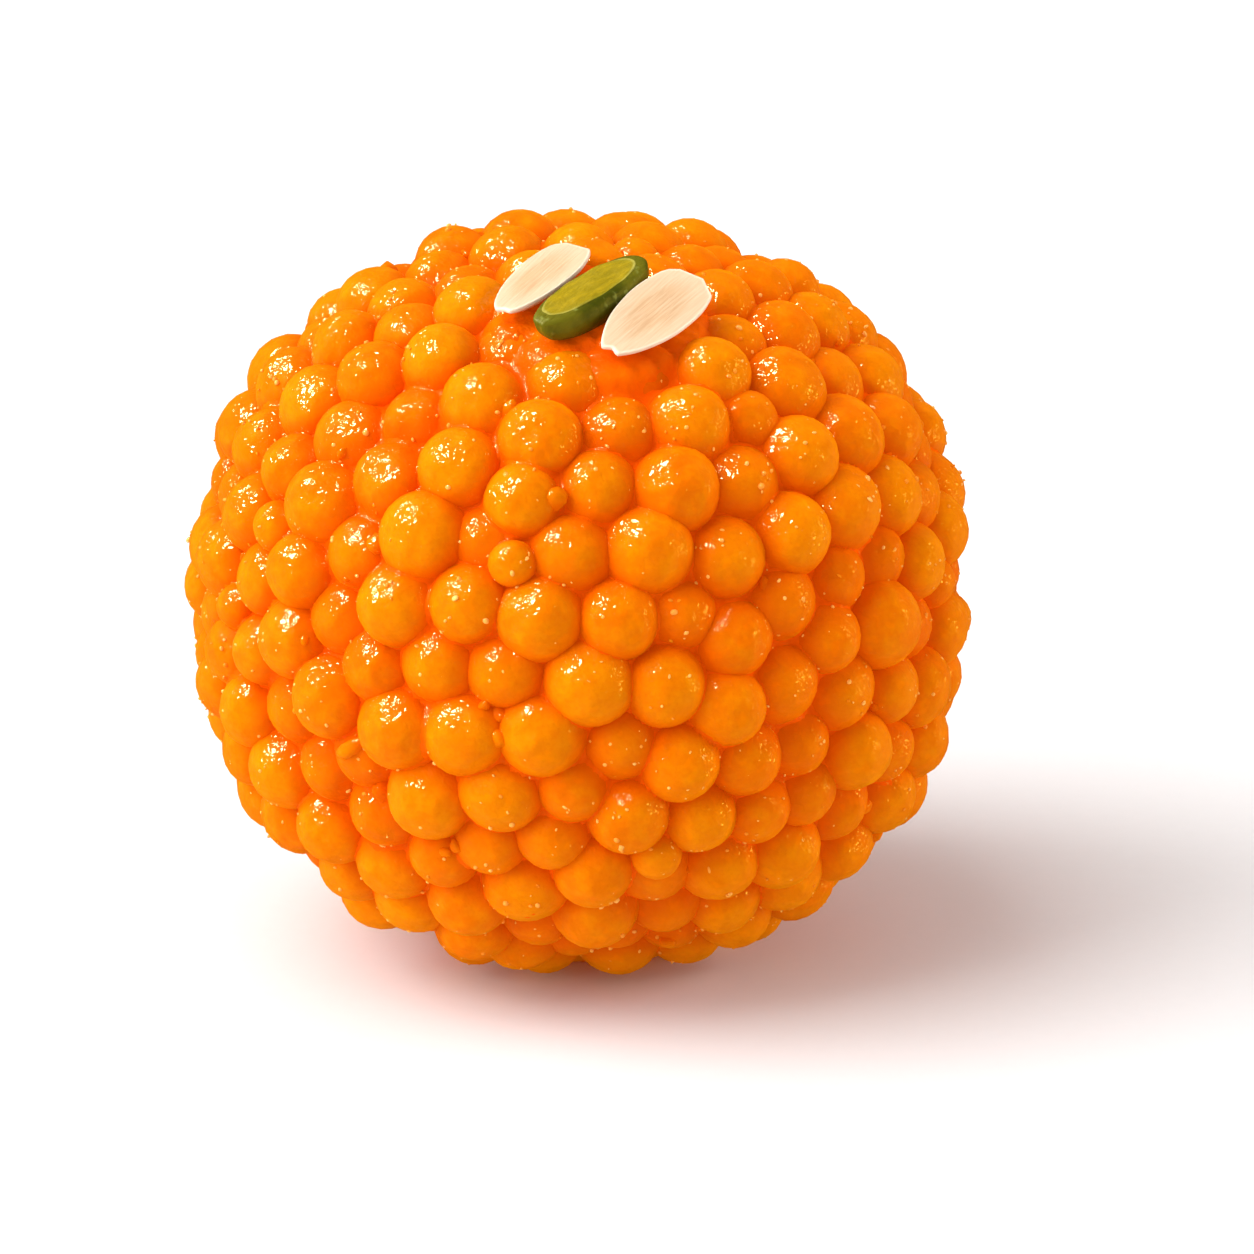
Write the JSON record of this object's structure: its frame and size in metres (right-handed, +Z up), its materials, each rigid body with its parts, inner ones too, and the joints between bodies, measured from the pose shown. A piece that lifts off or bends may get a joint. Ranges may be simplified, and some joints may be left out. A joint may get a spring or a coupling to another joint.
{
  "type": "boondi ladoo",
  "caption": "Round Indian sweet: a ball of small syrup-glazed fried gram-flour beads with melon seeds and a piece of pistachio pressed into its top.",
  "frame": {"origin": "centre of the flat spot on the underside that the ladoo rests on", "axes": "+Z up; the toppings lean towards -Y, the front; +X to the right seen from the front"},
  "size_m": [0.0496, 0.0492, 0.0472],
  "materials": {
    "boondi": "syrup-glazed fried gram-flour beads, translucent orange, glossy",
    "seed": "peeled melon seed, cream, satin, fine lengthwise grain",
    "pistachio": "cut pistachio kernel, yellow-green face and darker green side, satin"
  },
  "bodies": {
    "root": {"boondi_ball": "boondi", "melon_seed_left": "seed", "melon_seed_right": "seed", "pistachio_half": "pistachio"}
  },
  "joints": []
}
